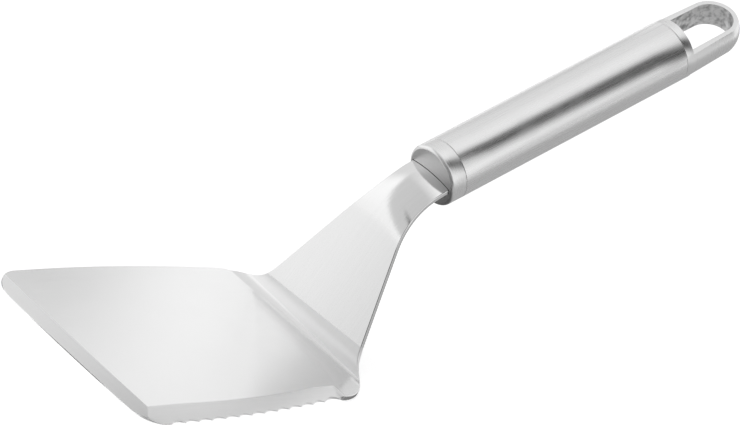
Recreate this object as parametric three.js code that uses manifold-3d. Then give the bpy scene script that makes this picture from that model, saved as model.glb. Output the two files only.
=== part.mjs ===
// Lasagna server: a bent stainless blade, serrated on its left side, on a round hollow handle
// that ends in a flat hanging loop.
// Millimetres, +Z up. The origin is the centre of the blade's flat underside, +X points
// to the handle, and the blade lies on the XY plane.

import * as THREE from "three";
import { mergeVertices } from "three/addons/utils/BufferGeometryUtils.js";
import Module from "manifold-3d";

const wasm = await Module();
wasm.setup();

// Sheet that makes the blade, the neck and the tang
const sheetThickness = 1.55;

// Blade
const bladeLength = 112;
const heelLength = 11.5;
const taperLead = 24;
const frontBow = 0.5;
const cuttingEdge = 0.35;
const frontBevelWidth = 6.3;

// Serrated side, ground to a bevel
const serratedHalfWidth = 41.6;
const serratedHeelHalfWidth = 37.8;
const serratedShoulderHalfWidth = 33.3;
const serratedCornerRadius = 10;
const serrationLead = 1.4;
const scallopCount = 12;
const scallopDepth = 0.85;
const lastScallopLength = 9.5;
const lastScallopDepth = 1.45;
const sideBevelFrontWidth = 8.1;
const sideBevelHeelWidth = 6.3;
const bevelRunOut = 2.5;

// Plain side
const plainHalfWidth = 41;
const plainHeelHalfWidth = 36.45;
const plainShoulderHalfWidth = 33.8;
const plainCornerRadius = 12.5;

// Bends and neck
const lowerBendRadius = 6.5;
const neckAngle = THREE.MathUtils.degToRad(76.77);
const neckStraightLength = 34.4;
const upperBendRadius = 33.4;
const handleAngle = THREE.MathUtils.degToRad(26.69);
const neckRootHalfWidth = 21.9;
const neckTaperEndHalfWidth = 12.3;
const neckHalfWidth = 9.15;
const neckCrown = 1.05;
const edgeBreakWidth = 0.45;
const edgeBreakDrop = 0.25;

// Handle
const handleRadius = 11;
const ferruleLength = 6.37;
const ferruleRound = 1.2;
const seamToSeamLength = 101.4;
const seamGap = 0.3;
const seamChamfer = 0.2;
const tubeWall = 1;
const fitClearance = 0.3;
const sheetHeightOverAxis = 0.54;

// Plugs, adhesive and potting inside the handle
const spigotLength = 8;
const bondWidth = 0.6;
const bondEndMargin = 0.6;
const capSpigotWall = 1.2;
const seatDepth = 2.5;
const tangHalfWidth = 6.5;
const tangLength = 45;
const pottingOverTang = 6;

// Hanging loop
const capRingLength = 3.2;
const loopHalfThickness = 4.65;
const loopEndRadius = 10.3;
const loopStraightLength = 17.9;
const slotHalfWidth = 7.77;
const slotEndRadius = 7.5;
const loopEdgeRound = 0.45;

// Mesh fineness and the overrun that cuts take past a face
const roundSegments = 64;
const curveDivisions = 5;
const bendSteps = 8;
const crownSteps = 7;
const loopRoundSteps = 2;
const ferruleRoundSteps = 4;
const loopEndSteps = 8;
const cutOverrun = 2;

// Places that follow from the sizes above
const lowerBendLength = lowerBendRadius * neckAngle;
const upperBendLength = upperBendRadius * (neckAngle - handleAngle);
const neckLength = lowerBendLength + neckStraightLength + upperBendLength;
const sheetLength = bladeLength + neckLength;
const spigotRadius = handleRadius - tubeWall - bondWidth - 2 * fitClearance;
const rearSeam = ferruleLength + seamToSeamLength;
const loopStart = rearSeam + capRingLength;
const loopCentre = loopStart + loopStraightLength;

// Half-width of each side before scallops are cut: straight, then drawn in along a parabola
const serratedTaperEnd = bladeLength - heelLength - lastScallopLength;
const heelStation = bladeLength - heelLength;

function taperedHalfWidth(station, widest, narrowest, end) {
  const share = Math.max(0, (station - taperLead) / (end - taperLead));
  return widest - (widest - narrowest) * share * share;
}

function serratedHalfWidthAt(station) {
  const end = Math.min(station, serratedTaperEnd);
  return taperedHalfWidth(end, serratedHalfWidth, serratedHeelHalfWidth, serratedTaperEnd);
}

function plainHalfWidthAt(station) {
  return taperedHalfWidth(station, plainHalfWidth, plainHeelHalfWidth, heelStation);
}

function addScallop(path, from, to, depth) {
  const middle = (from + to) / 2;
  const valley = serratedHalfWidthAt(middle) - 2 * depth;
  path.quadraticCurveTo(middle, valley, to, serratedHalfWidthAt(to));
}

function addScallops(path) {
  const firstTip = serratedCornerRadius + serrationLead;
  const pitch = (serratedTaperEnd - firstTip) / scallopCount;
  path.lineTo(firstTip, serratedHalfWidthAt(firstTip));
  for (let i = 0; i < scallopCount; i += 1) {
    addScallop(path, firstTip + i * pitch, firstTip + (i + 1) * pitch, scallopDepth);
  }
  addScallop(path, serratedTaperEnd, heelStation, lastScallopDepth);
}

// The plain side's parabola as a curve with steps, from its corner to the heel
function addPlainSide(path) {
  const start = Math.max(taperLead, plainCornerRadius);
  const slopeRun = (heelStation - start) / 2;
  const slope = (-2 * (plainHalfWidth - plainHeelHalfWidth)) / (heelStation - taperLead);
  path.lineTo(start, plainHalfWidthAt(start));
  path.quadraticCurveTo(
    heelStation - slopeRun,
    plainHeelHalfWidth - slope * slopeRun,
    heelStation,
    plainHeelHalfWidth,
  );
}

// Shares along and across the spans that the curves behind the blade cover
const serratedHeelShares = [[0.33, 1.05], [0.7, 0.79]];
const serratedRootShares = [[0.54, 0.345], [0.19, 0.275]];
const plainHeelShares = [[0.33, 0.83], [0.8, 0.74]];
const plainRootShares = [[0.41, 0.73], [0.21, 0.26]];
const shoulderShare = 0.01;
const rootEndShare = 0.192;
const taperEndShare = 0.62;
const parallelShare = 0.9;

function addSpan(path, from, to, shares) {
  const points = shares.map(([along, across]) => [
    THREE.MathUtils.lerp(from[0], to[0], along),
    THREE.MathUtils.lerp(to[1], from[1], across),
  ]);
  path.bezierCurveTo(...points[0], ...points[1], ...to);
}

// The sheet's tapering neck and its tang, the same on both sides
function addNeck(path) {
  const rootEnd = bladeLength + rootEndShare * neckLength;
  const taperEnd = bladeLength + taperEndShare * neckLength;
  const taperSlope = (neckTaperEndHalfWidth - neckRootHalfWidth) / (taperEnd - rootEnd);
  const parallel = bladeLength + parallelShare * neckLength;
  const meeting = taperEnd + (neckHalfWidth - neckTaperEndHalfWidth) / taperSlope;
  const shoulder = sheetLength + seatDepth - 2 * fitClearance;
  path.lineTo(taperEnd, neckTaperEndHalfWidth);
  path.quadraticCurveTo(Math.min(meeting, parallel), neckHalfWidth, parallel, neckHalfWidth);
  path.lineTo(shoulder, neckHalfWidth);
  path.lineTo(shoulder + fitClearance, tangHalfWidth);
  path.lineTo(sheetLength + tangLength, tangHalfWidth);
}

// Outline of one side of the flat sheet, from the front edge to the tang's end
function sideOutline(side) {
  const { halfWidth, corner } = side;
  const path = new THREE.Path();
  const shoulder = [bladeLength + shoulderShare * neckLength, side.shoulderHalfWidth];
  const rootEnd = [bladeLength + rootEndShare * neckLength, neckRootHalfWidth];
  path.moveTo(0, halfWidth - corner);
  path.absarc(corner, halfWidth - corner, corner, Math.PI, Math.PI / 2, true);
  side.addSide(path);
  addSpan(path, [heelStation, side.heelHalfWidth], shoulder, side.heelShares);
  addSpan(path, shoulder, rootEnd, side.rootShares);
  addNeck(path);
  return path.getPoints(curveDivisions);
}

const serratedOutline = sideOutline({
  halfWidth: serratedHalfWidth,
  corner: serratedCornerRadius,
  heelHalfWidth: serratedHeelHalfWidth,
  shoulderHalfWidth: serratedShoulderHalfWidth,
  heelShares: serratedHeelShares,
  rootShares: serratedRootShares,
  addSide: addScallops,
});
const plainOutline = sideOutline({
  halfWidth: plainHalfWidth,
  corner: plainCornerRadius,
  heelHalfWidth: plainHeelHalfWidth,
  shoulderHalfWidth: plainShoulderHalfWidth,
  heelShares: plainHeelShares,
  rootShares: plainRootShares,
  addSide: addPlainSide,
});

function outlineHalfWidthAt(outline, station) {
  const next = outline.findIndex((point) => point.x >= station);
  if (next <= 0) return outline[0].y;
  const [a, b] = [outline[next - 1], outline[next]];
  return THREE.MathUtils.mapLinear(station, a.x, b.x, a.y, b.y);
}

// Centre line of the sheet's upper surface: place and slope at a station along the sheet
function sheetLineAt(station) {
  const past = Math.max(0, station - bladeLength);
  const low = Math.min(past, lowerBendLength) / lowerBendRadius;
  const straight = THREE.MathUtils.clamp(past - lowerBendLength, 0, neckStraightLength);
  const bent = THREE.MathUtils.clamp(past - lowerBendLength - neckStraightLength, 0, upperBendLength);
  const slope = low - bent / upperBendRadius;
  const rest = Math.max(0, station - sheetLength);
  const x =
    Math.min(station, bladeLength) - bladeLength / 2 +
    lowerBendRadius * Math.sin(low) +
    straight * Math.cos(neckAngle) +
    (bent > 0 ? upperBendRadius * (Math.sin(neckAngle) - Math.sin(slope)) : 0) +
    rest * Math.cos(handleAngle);
  const z =
    sheetThickness +
    lowerBendRadius * (1 - Math.cos(low)) +
    straight * Math.sin(neckAngle) +
    (bent > 0 ? upperBendRadius * (Math.cos(slope) - Math.cos(neckAngle)) : 0) +
    rest * Math.sin(handleAngle);
  return { x, z, slope };
}

// Stations at which the sheet's rows lie: the serrated outline's, and others not too near them
function sheetStations() {
  const bends = [];
  for (let i = 0; i <= bendSteps; i += 1) {
    bends.push(bladeLength + (i / bendSteps) * lowerBendLength);
    bends.push(sheetLength - (i / bendSteps) * upperBendLength);
  }
  const runOuts = [heelStation - bevelRunOut / 2, heelStation + bevelRunOut / 2];
  const kept = serratedOutline.map((point) => point.x);
  for (const station of [frontBevelWidth, ...runOuts, ...bends]) {
    if (kept.every((other) => Math.abs(other - station) > fitClearance / 2)) kept.push(station);
  }
  return kept.sort((a, b) => a - b);
}

// How far the bevel on the serrated side has run out into the heel's plain edge, as a share
function runOutShareAt(station) {
  return THREE.MathUtils.smoothstep(
    station,
    heelStation - bevelRunOut / 2,
    heelStation + bevelRunOut / 2,
  );
}

// How each side is ground: the line it is measured from, and its width and drop there
function serratedGroundAt(station, edge) {
  const along = THREE.MathUtils.clamp((station - taperLead) / (heelStation - taperLead), 0, 1);
  const width = THREE.MathUtils.lerp(sideBevelFrontWidth, sideBevelHeelWidth, along);
  const runOut = runOutShareAt(station);
  return {
    from: station < heelStation ? serratedHalfWidthAt(station) : edge,
    width: THREE.MathUtils.lerp(width, edgeBreakWidth, runOut),
    drop: THREE.MathUtils.lerp(sheetThickness - cuttingEdge, edgeBreakDrop, runOut),
  };
}

function plainGroundAt(station, edge) {
  return { from: edge, width: edgeBreakWidth, drop: edgeBreakDrop };
}

// One side at a station: its edge, its grinding, and the crease where the upper face begins
function sideAt(outline, groundAt, station) {
  const edge = outlineHalfWidthAt(outline, station);
  const ground = groundAt(station, edge);
  const mitre = Math.max(0, 1 - station / frontBevelWidth) * ground.width;
  const crease = Math.min(ground.from - ground.width + mitre, edge - edgeBreakWidth);
  return { edge, ground, crease };
}

// How far the ground surface lies below the sheet's upper face
function sheetDropAt(station, reach, ground) {
  const side = THREE.MathUtils.clamp(1 - (ground.from - reach) / ground.width, 0, 1) * ground.drop;
  const front = Math.max(0, 1 - station / frontBevelWidth) * (sheetThickness - cuttingEdge);
  return Math.max(side, front);
}

function crownAt(station, reach, edge) {
  const rise = neckCrown * THREE.MathUtils.smoothstep(
    station,
    bladeLength + taperEndShare * neckLength,
    bladeLength + parallelShare * neckLength,
  );
  const share = reach / Math.max(neckHalfWidth, edge);
  return rise * (1 - share * share);
}

function headGeometry() {
  const stations = sheetStations();
  const rows = stations.length - 1;
  const columns = crownSteps + 2;
  const geometry = new THREE.BoxGeometry(1, 1, 1, rows, columns, 1);
  const place = geometry.getAttribute("position");
  for (let i = 0; i < place.count; i += 1) {
    const station = stations[Math.round((place.getX(i) + 0.5) * rows)];
    const column = Math.round((place.getY(i) + 0.5) * columns);
    const onTop = place.getZ(i) > 0;
    const sides = [
      sideAt(serratedOutline, serratedGroundAt, station),
      sideAt(plainOutline, plainGroundAt, station),
    ];
    const share = (column - 1) / (columns - 2);
    const inner = THREE.MathUtils.lerp(-sides[0].crease, sides[1].crease, share);
    const atEdge = { 0: -sides[0].edge, [columns]: sides[1].edge };
    const y = column in atEdge ? atEdge[column] : inner;
    const side = sides[y < 0 ? 0 : 1];
    const reach = Math.abs(y);
    const below = onTop ? sheetDropAt(station, reach, side.ground) : sheetThickness;
    const offset = crownAt(station, reach, side.edge) - below;
    const line = sheetLineAt(station);
    const bowShare = Math.min(1, reach / (serratedHalfWidth - serratedCornerRadius));
    const bow = frontBow * bowShare * bowShare * Math.max(0, 1 - station / taperLead);
    place.setXYZ(i, line.x + bow - offset * Math.sin(line.slope), y, line.z + offset * Math.cos(line.slope));
  }
  return geometry;
}

// Solids for cutting and joining
function toSolid(geometry) {
  const bare = geometry.clone();
  bare.deleteAttribute("normal");
  bare.deleteAttribute("uv");
  const merged = mergeVertices(bare);
  return new wasm.Manifold(
    new wasm.Mesh({
      numProp: 3,
      vertProperties: new Float32Array(merged.getAttribute("position").array),
      triVerts: new Uint32Array(merged.getIndex().array),
    }),
  );
}

function toGeometry(solid) {
  const mesh = solid.getMesh();
  const geometry = new THREE.BufferGeometry();
  geometry.setAttribute("position", new THREE.BufferAttribute(mesh.vertProperties, 3));
  geometry.setIndex(new THREE.BufferAttribute(mesh.triVerts, 1));
  geometry.computeVertexNormals();
  return geometry;
}

// A turned piece from [radius, distance along the handle] points
function turned(points) {
  const profile = points.map(([radius, along]) => new THREE.Vector2(radius, along));
  return new THREE.LatheGeometry(profile, roundSegments).rotateZ(-Math.PI / 2);
}

// A bar with the neck's arched section along the handle, grown by a clearance all round
function archedBar(halfWidth, clearance, from, to) {
  const half = halfWidth + clearance;
  const crownEdge = neckCrown * (1 - (half / neckHalfWidth) ** 2);
  const top = sheetHeightOverAxis + clearance;
  const bottom = sheetHeightOverAxis - sheetThickness - clearance;
  const crownControl = 2 * neckCrown - crownEdge;
  const shape = new THREE.Shape();
  shape.moveTo(half, top + crownEdge);
  shape.quadraticCurveTo(0, top + crownControl, -half, top + crownEdge);
  shape.lineTo(-half, bottom + crownEdge);
  shape.quadraticCurveTo(0, bottom + crownControl, half, bottom + crownEdge);
  shape.closePath();
  const bar = new THREE.ExtrudeGeometry(shape, {
    depth: to - from,
    bevelEnabled: false,
    curveSegments: crownSteps,
  });
  bar.applyMatrix4(
    new THREE.Matrix4().makeBasis(
      new THREE.Vector3(0, 1, 0),
      new THREE.Vector3(0, 0, 1),
      new THREE.Vector3(1, 0, 0),
    ),
  );
  return bar.translate(from, 0, 0);
}

function ferruleGeometry() {
  const flangeEnd = ferruleLength - seamGap / 2;
  const spigotEnd = flangeEnd + spigotLength;
  const round = [];
  for (let i = 0; i <= ferruleRoundSteps; i += 1) {
    const turn = (i / ferruleRoundSteps) * (Math.PI / 2);
    const radius = handleRadius - ferruleRound * (1 - Math.sin(turn));
    round.push([radius, ferruleRound * (1 - Math.cos(turn))]);
  }
  const body = turned([
    [0, 0],
    ...round,
    [handleRadius, flangeEnd - seamChamfer],
    [handleRadius - seamChamfer, flangeEnd],
    [spigotRadius, flangeEnd],
    [spigotRadius, spigotEnd],
    [0, spigotEnd],
  ]);
  const seat = archedBar(neckHalfWidth, fitClearance, -cutOverrun, seatDepth);
  const slot = archedBar(tangHalfWidth, fitClearance, -cutOverrun, spigotEnd + cutOverrun);
  return toGeometry(toSolid(body).subtract(toSolid(seat)).subtract(toSolid(slot)));
}

function pottingGeometry() {
  const start = ferruleLength - seamGap / 2 + spigotLength + fitClearance;
  const radius = handleRadius - tubeWall - fitClearance;
  const end = tangLength + pottingOverTang;
  const plug = turned([[0, start], [radius, start], [radius, end], [0, end]]);
  const slot = archedBar(tangHalfWidth, fitClearance, start - cutOverrun, tangLength + fitClearance);
  return toGeometry(toSolid(plug).subtract(toSolid(slot)));
}

function tubeGeometry() {
  const bore = handleRadius - tubeWall;
  const start = ferruleLength + seamGap / 2;
  const end = rearSeam - seamGap / 2;
  return turned([
    [bore, start],
    [handleRadius - seamChamfer, start],
    [handleRadius, start + seamChamfer],
    [handleRadius, end - seamChamfer],
    [handleRadius - seamChamfer, end],
    [bore, end],
    [bore, start],
  ]);
}

function bondRingGeometry(from) {
  const inner = spigotRadius + fitClearance;
  const outer = inner + bondWidth;
  const start = from + bondEndMargin;
  const end = from + spigotLength - bondEndMargin;
  return turned([[inner, start], [outer, start], [outer, end], [inner, end], [inner, start]]);
}

function loopCapGeometry() {
  const ringStart = rearSeam + seamGap / 2;
  const spigotStart = ringStart - spigotLength;
  const sleeveBore = spigotRadius - capSpigotWall;
  const ring = turned([
    [0, ringStart],
    [sleeveBore, ringStart],
    [sleeveBore, spigotStart],
    [spigotRadius, spigotStart],
    [spigotRadius, ringStart],
    [handleRadius - seamChamfer, ringStart],
    [handleRadius, ringStart + seamChamfer],
    [handleRadius, loopStart],
    [0, loopStart],
  ]);
  const root = loopStart - capRingLength / 2;
  const plan = new THREE.Shape();
  plan.moveTo(root, -handleRadius);
  plan.lineTo(loopStart, -handleRadius);
  plan.lineTo(loopCentre, -loopEndRadius);
  plan.absarc(loopCentre, 0, loopEndRadius, -Math.PI / 2, Math.PI / 2, false);
  plan.lineTo(loopStart, handleRadius);
  plan.lineTo(root, handleRadius);
  plan.lineTo(root, slotHalfWidth);
  plan.lineTo(loopStart, slotHalfWidth);
  plan.lineTo(loopCentre, slotEndRadius);
  plan.absarc(loopCentre, 0, slotEndRadius, Math.PI / 2, -Math.PI / 2, true);
  plan.lineTo(loopStart, -slotHalfWidth);
  plan.lineTo(root, -slotHalfWidth);
  plan.closePath();
  const plate = new THREE.ExtrudeGeometry(plan, {
    depth: 2 * (loopHalfThickness - loopEdgeRound),
    curveSegments: roundSegments / 2,
    bevelThickness: loopEdgeRound,
    bevelSize: loopEdgeRound,
    bevelOffset: -loopEdgeRound,
    bevelSegments: loopRoundSteps,
  }).translate(0, 0, loopEdgeRound - loopHalfThickness);
  const dome = [];
  for (let i = 0; i <= loopEndSteps; i += 1) {
    const turn = (i / loopEndSteps) * (Math.PI / 2);
    dome.push([loopEndRadius * Math.cos(turn), loopCentre + loopEndRadius * Math.sin(turn)]);
  }
  dome[loopEndSteps][0] = 0;
  const bar = turned([[0, root], [handleRadius, root], [handleRadius, loopStart], ...dome]);
  return toGeometry(toSolid(plate).intersect(toSolid(bar)).add(toSolid(ring)));
}

// Materials
function steel(color, roughness) {
  return new THREE.MeshStandardMaterial({ color, roughness, metalness: 1 });
}

function resin(color) {
  return new THREE.MeshStandardMaterial({ color, roughness: 0.6, metalness: 0 });
}

function piece(name, geometry, material) {
  const mesh = new THREE.Mesh(geometry, material);
  mesh.name = name;
  return mesh;
}

// Assembly: the sheet lies in the part's own frame, the handle in a group turned to its slope
const server = new THREE.Group();
server.add(piece("server_head", headGeometry(), steel(0xe6e6e6, 0.12)));

const handle = new THREE.Group();
const face = sheetLineAt(sheetLength);
handle.position.set(
  face.x + sheetHeightOverAxis * Math.sin(handleAngle),
  0,
  face.z - sheetHeightOverAxis * Math.cos(handleAngle),
);
handle.rotation.y = -handleAngle;
handle.add(piece("front_ferrule", ferruleGeometry(), steel(0xd6d6d6, 0.25)));
handle.add(piece("tang_potting", pottingGeometry(), resin(0x5a5650)));
handle.add(piece("handle_tube", tubeGeometry(), steel(0xd2d2d2, 0.32)));
handle.add(piece("front_bond_ring", bondRingGeometry(ferruleLength - seamGap / 2), resin(0x8a8578)));
handle.add(
  piece("rear_bond_ring", bondRingGeometry(rearSeam + seamGap / 2 - spigotLength), resin(0x8a8578)),
);
handle.add(piece("loop_cap", loopCapGeometry(), steel(0xdadada, 0.22)));
server.add(handle);

export default server;
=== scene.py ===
"""Lasagna server: a bent steel head, a hollow round handle and a milled hanging loop, on a white floor."""

import logging
import math
from collections.abc import Callable
from dataclasses import dataclass, field
from enum import Enum

import bmesh
import bpy
from mathutils import Matrix, Vector


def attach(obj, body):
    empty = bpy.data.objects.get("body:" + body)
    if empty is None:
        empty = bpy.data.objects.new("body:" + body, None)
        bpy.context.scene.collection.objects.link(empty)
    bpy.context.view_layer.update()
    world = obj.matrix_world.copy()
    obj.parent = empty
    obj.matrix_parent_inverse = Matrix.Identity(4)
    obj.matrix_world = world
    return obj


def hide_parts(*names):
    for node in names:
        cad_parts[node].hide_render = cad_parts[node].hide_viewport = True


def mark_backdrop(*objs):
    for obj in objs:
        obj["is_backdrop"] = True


logging.basicConfig(level=logging.INFO, format="%(message)s")
LOG = logging.getLogger("server")

MM = 0.001
BODY = "root"
STATION = "station"
GROUND = "ground"
HALVINGS = 40
WELD = 1e-7
CRISP = math.radians(30)
TURNED_CRISP = math.radians(25)
HEAD_CRISP = math.radians(7)
FLAT = math.radians(0.5)

Socket = bpy.types.NodeSocket
Piece = bpy.types.Object
Pair = tuple[float, float]
Triple = tuple[float, float, float]

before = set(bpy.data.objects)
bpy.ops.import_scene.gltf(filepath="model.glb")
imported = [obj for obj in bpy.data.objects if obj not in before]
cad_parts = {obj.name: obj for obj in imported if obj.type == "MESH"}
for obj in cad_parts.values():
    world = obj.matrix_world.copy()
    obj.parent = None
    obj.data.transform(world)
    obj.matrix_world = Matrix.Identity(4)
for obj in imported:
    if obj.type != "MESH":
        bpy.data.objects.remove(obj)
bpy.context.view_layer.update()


class Slot(Enum):
    """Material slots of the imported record."""

    BLADE = "blade_steel"
    TUBE = "tube_steel"
    FITTING = "fitting_steel"
    RESIN = "potting_resin"
    ADHESIVE = "bond_adhesive"


class Brush(Enum):
    """Which way the fine lines of a finish run, as the share of the noise's scale along X, Y and Z."""

    LENGTHWISE = (0.012, 1.0, 0.6)
    ROUND = (1.0, 0.02, 0.02)
    EVEN = (1.0, 1.0, 1.0)


def mix(low: float, high: float, share: float) -> float:
    """Value at a share of the way from low to high."""
    return low + (high - low) * share


def smooth(low: float, high: float, value: float) -> float:
    """Smooth step from 0 at low to 1 at high.

    Args:
        low: value where the step starts.
        high: value where it ends.
        value: where it is read.

    Returns:
        The share, with a level start and end.
    """
    share = min(1.0, max(0.0, (value - low) / (high - low)))
    return share * share * (3.0 - 2.0 * share)


@dataclass(frozen=True)
class Span:
    """Cubic curve of half-width over station, given by its ends and two shares."""

    start: Pair
    end: Pair
    shares: tuple[Pair, Pair]

    def _point(self, turn: float) -> Pair:
        """Station and half-width at a share of the curve's parameter."""
        (x0, y0), (x3, y3) = self.start, self.end
        (a1, b1), (a2, b2) = self.shares
        xs = (x0, mix(x0, x3, a1), mix(x0, x3, a2), x3)
        ys = (y0, mix(y3, y0, b1), mix(y3, y0, b2), y3)
        rest = 1.0 - turn
        weights = (rest**3, 3 * rest * rest * turn, 3 * rest * turn * turn, turn**3)
        return (
            sum(w * x for w, x in zip(weights, xs)),
            sum(w * y for w, y in zip(weights, ys)),
        )

    def at(self, station: float) -> float:
        """Half-width at a station, found by halving.

        Args:
            station: distance along the sheet, between the span's ends.

        Returns:
            The curve's half-width there.
        """
        low, high = 0.0, 1.0
        for _ in range(HALVINGS):
            middle = (low + high) / 2
            if self._point(middle)[0] < station:
                low = middle
            else:
                high = middle
        return self._point((low + high) / 2)[1]


@dataclass(frozen=True)
class SheetLine:
    """Side view of the bent sheet: the blade, the lower bend, the neck, the upper bend and the tang."""

    thickness: float = 1.55 * MM
    blade: float = 112 * MM
    lower_radius: float = 6.5 * MM
    neck_angle: float = math.radians(76.77)
    straight: float = 34.4 * MM
    upper_radius: float = 33.4 * MM
    handle_angle: float = math.radians(26.69)

    @property
    def lower(self) -> float:
        """Length of the lower bend along the upper surface."""
        return self.lower_radius * self.neck_angle

    @property
    def upper(self) -> float:
        """Length of the upper bend along the upper surface."""
        return self.upper_radius * (self.neck_angle - self.handle_angle)

    @property
    def neck(self) -> float:
        """Length from the blade's end to the handle's face."""
        return self.lower + self.straight + self.upper

    @property
    def length(self) -> float:
        """Length from the front edge to the handle's face."""
        return self.blade + self.neck

    def at(self, station: float) -> Triple:
        """Place and slope of the upper surface's centre line.

        Args:
            station: distance along the sheet from the front edge.

        Returns:
            x, z and the slope in radians.
        """
        past = max(0.0, station - self.blade)
        low = min(past, self.lower) / self.lower_radius
        straight = min(max(past - self.lower, 0.0), self.straight)
        bent = min(max(past - self.lower - self.straight, 0.0), self.upper)
        slope = low - bent / self.upper_radius
        rest = max(0.0, station - self.length)
        x = min(station, self.blade) - self.blade / 2 + self.lower_radius * math.sin(low)
        z = self.thickness + self.lower_radius * (1 - math.cos(low))
        x += straight * math.cos(self.neck_angle) + rest * math.cos(self.handle_angle)
        z += straight * math.sin(self.neck_angle) + rest * math.sin(self.handle_angle)
        if bent > 0:
            x += self.upper_radius * (math.sin(self.neck_angle) - math.sin(slope))
            z += self.upper_radius * (math.cos(slope) - math.cos(self.neck_angle))
        return x, z, slope


@dataclass(frozen=True)
class HandleLine:
    """The handle's centre line: every turned piece is built along +X and then laid on it."""

    sheet: SheetLine
    radius: float = 11 * MM
    face_drop: float = 0.54 * MM

    def matrix(self) -> Matrix:
        """Placement that takes +X from the handle's face to its loop."""
        x, z, slope = self.sheet.at(self.sheet.length)
        origin = Vector((x + self.face_drop * math.sin(slope), 0.0, z - self.face_drop * math.cos(slope)))
        return Matrix.Translation(origin) @ Matrix.Rotation(-slope, 4, "Y")


def finish_mesh(bm: bmesh.types.BMesh, name: str, sharp: float) -> Piece:
    """Turns a bmesh into a smooth-shaded object.

    Args:
        bm: the finished shape, which is freed.
        name: the piece's name.
        sharp: edges that turn by more than this angle stay crisp.

    Returns:
        The linked object.
    """
    bmesh.ops.remove_doubles(bm, verts=bm.verts, dist=WELD)
    bmesh.ops.recalc_face_normals(bm, faces=bm.faces)
    mesh = bpy.data.meshes.new(name)
    bm.to_mesh(mesh)
    bm.free()
    mesh.shade_smooth()
    mesh.set_sharp_from_angle(angle=sharp)
    piece = bpy.data.objects.new(name, mesh)
    bpy.context.scene.collection.objects.link(piece)
    return piece


def turned(profile: list[Pair], steps: int) -> bmesh.types.BMesh:
    """Spins a profile round the X axis.

    Args:
        profile: (distance along the axis, radius) points of an open or closed outline.
        steps: steps in the full turn.

    Returns:
        The closed shape, its doubles merged.
    """
    bm = bmesh.new()
    line = [bm.verts.new((along, 0.0, radius)) for along, radius in profile]
    edges = [bm.edges.new(pair) for pair in zip(line, line[1:])]
    bmesh.ops.spin(
        bm,
        geom=line + edges,
        cent=(0.0, 0.0, 0.0),
        axis=(1.0, 0.0, 0.0),
        angle=math.tau,
        steps=steps,
        use_merge=True,
    )
    bmesh.ops.remove_doubles(bm, verts=bm.verts, dist=WELD)
    bmesh.ops.recalc_face_normals(bm, faces=bm.faces)
    return bm


def arc(
    centre: Pair, radius: float, start: float, end: float, steps: int
) -> list[Pair]:
    """Points of an arc in a turned profile.

    Args:
        centre: (along, radius) of the arc's centre.
        radius: the arc's own radius.
        start: first angle in degrees, from the axis direction.
        end: last angle in degrees.
        steps: steps between them.

    Returns:
        The arc's points, both ends among them.
    """
    turns = [math.radians(mix(start, end, i / steps)) for i in range(steps + 1)]
    return [(centre[0] + radius * math.cos(a), centre[1] + radius * math.sin(a)) for a in turns]


def cut(target: Piece, tool: Piece, operation: str) -> None:
    """Joins or cuts a piece with another solid, which is then removed.

    Args:
        target: the piece whose mesh takes the result.
        tool: the other solid.
        operation: DIFFERENCE, UNION or INTERSECT.
    """
    change = target.modifiers.new("cut", "BOOLEAN")
    change.operation = operation
    change.solver = "EXACT"
    change.object = tool
    bpy.context.view_layer.update()
    graph = bpy.context.evaluated_depsgraph_get()
    mesh = bpy.data.meshes.new_from_object(target.evaluated_get(graph))
    old = target.data
    target.modifiers.clear()
    target.data = mesh
    mesh.name = old.name
    bpy.data.meshes.remove(old)
    bpy.data.objects.remove(tool)


def mark(piece: Piece, chosen: Callable[[Vector, Vector], bool]) -> None:
    """Gives some faces the piece's second material.

    Args:
        piece: the object, still along +X.
        chosen: says from a face's centre and normal whether it is one of them.
    """
    for polygon in piece.data.polygons:
        polygon.material_index = int(chosen(polygon.center, polygon.normal))


def round_edges(piece: Piece, turn: float, offset: float, segments: int, sharp: float) -> None:
    """Dissolves flat seams, then rounds the edges that turn by more than an angle.

    Args:
        piece: the object whose mesh is rounded.
        turn: least angle of an edge that is rounded, in radians.
        offset: width of the rounding.
        segments: steps across it.
        sharp: edges that turn by more than this angle stay crisp.
    """
    bm = bmesh.new()
    bm.from_mesh(piece.data)
    bmesh.ops.dissolve_limit(bm, angle_limit=FLAT, verts=bm.verts, edges=bm.edges)
    edges = [e for e in bm.edges if len(e.link_faces) == 2 and e.calc_face_angle(0.0) > turn]
    bmesh.ops.bevel(
        bm,
        geom=edges,
        offset=offset,
        offset_type="OFFSET",
        affect="EDGES",
        segments=segments,
        profile=0.5,
        material=-1,
        clamp_overlap=True,
    )
    bm.to_mesh(piece.data)
    bm.free()
    piece.data.shade_smooth()
    piece.data.set_sharp_from_angle(angle=sharp)


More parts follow.
